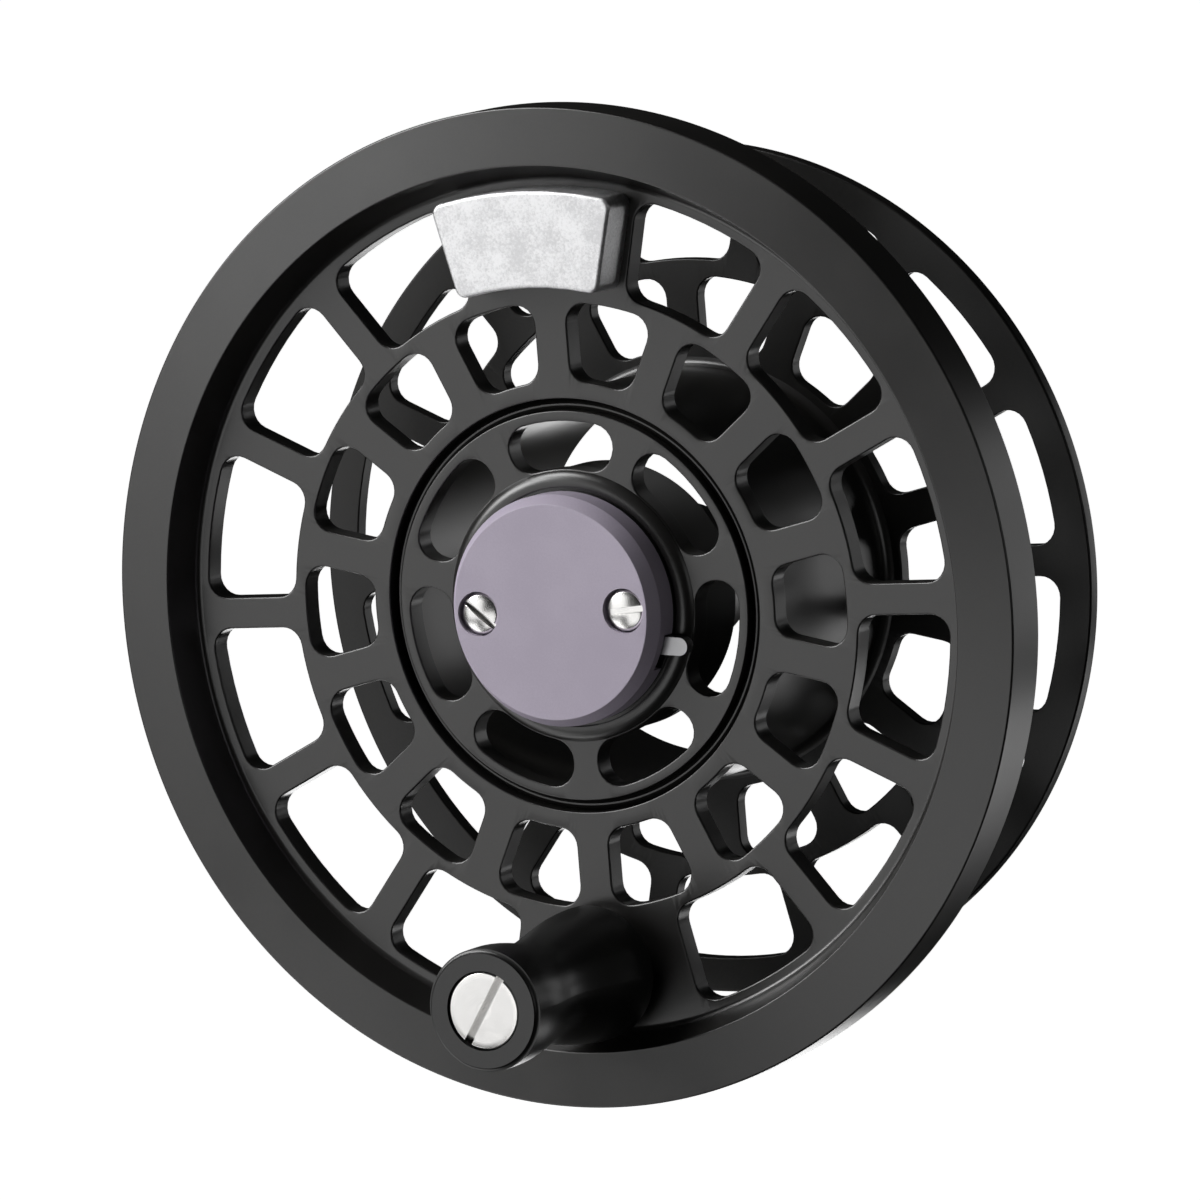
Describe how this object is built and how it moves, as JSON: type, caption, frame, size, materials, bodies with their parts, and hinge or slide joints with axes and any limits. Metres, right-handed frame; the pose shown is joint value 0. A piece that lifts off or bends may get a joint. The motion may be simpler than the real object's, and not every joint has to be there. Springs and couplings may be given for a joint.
{
  "type": "fly reel spool",
  "caption": "Ported fly reel spool with counterweight, winding knob and a spring latch under a two-screw cap.",
  "frame": {"origin": "on the spindle axis, at the line-side face of the front web", "axes": "+Y along the spindle bore towards the rear, where the spindle leaves; +Z towards the counterweight; the knob stands at -Z"},
  "size_m": [0.089, 0.0489, 0.089],
  "materials": {
    "black_anodised": "satin black anodised, machined from bar",
    "grey_anodised": "matte violet-grey anodised",
    "bright_steel": "turned stainless",
    "spring_steel": "hard drawn spring steel",
    "bearing_steel": "ground bearing steel",
    "bronze": "sintered bronze",
    "cast_alloy": "tumbled cast alloy, clear",
    "knob_black": "satin black acetal",
    "black_plastic": "moulded acetal",
    "white_plastic": "natural acetal"
  },
  "bodies": {
    "spool": {"face_plate": "black_anodised", "arbor": "black_anodised", "rear_flange": "black_anodised", "hub": "black_anodised", "latch_cap": "grey_anodised", "cap_screws": "bright_steel", "latch_spring": "spring_steel", "front_bushing": "bronze", "rear_bushing": "bronze", "clutch_shell": "bearing_steel", "clutch_cage": "black_plastic", "clutch_rollers": "bearing_steel", "retaining_ring": "spring_steel", "click_ring": "black_plastic", "counterweight": "cast_alloy", "counterweight_screws": "bright_steel", "knob_washer": "white_plastic", "handle_post": "bright_steel", "handle_screw": "bright_steel"},
    "knob": {"knob": "knob_black", "knob_bushings": "white_plastic"},
    "latch": {"latch_lever": "bright_steel"}
  },
  "joints": [
    {"name": "knob_spin", "type": "hinge", "parent": "spool", "child": "knob", "pos_m": [0, 0, -0.0325], "axis": [0, 1, 0], "continuous": true},
    {"name": "latch_swing", "type": "hinge", "parent": "spool", "child": "latch", "pos_m": [-0.00725, 0, 0], "axis": [0, 1, 0], "range_deg": [0, 4.5], "stiffness_Nm_per_rad": 0.05, "springref_deg": -11.46, "deforming": ["latch_spring"]}
  ]
}
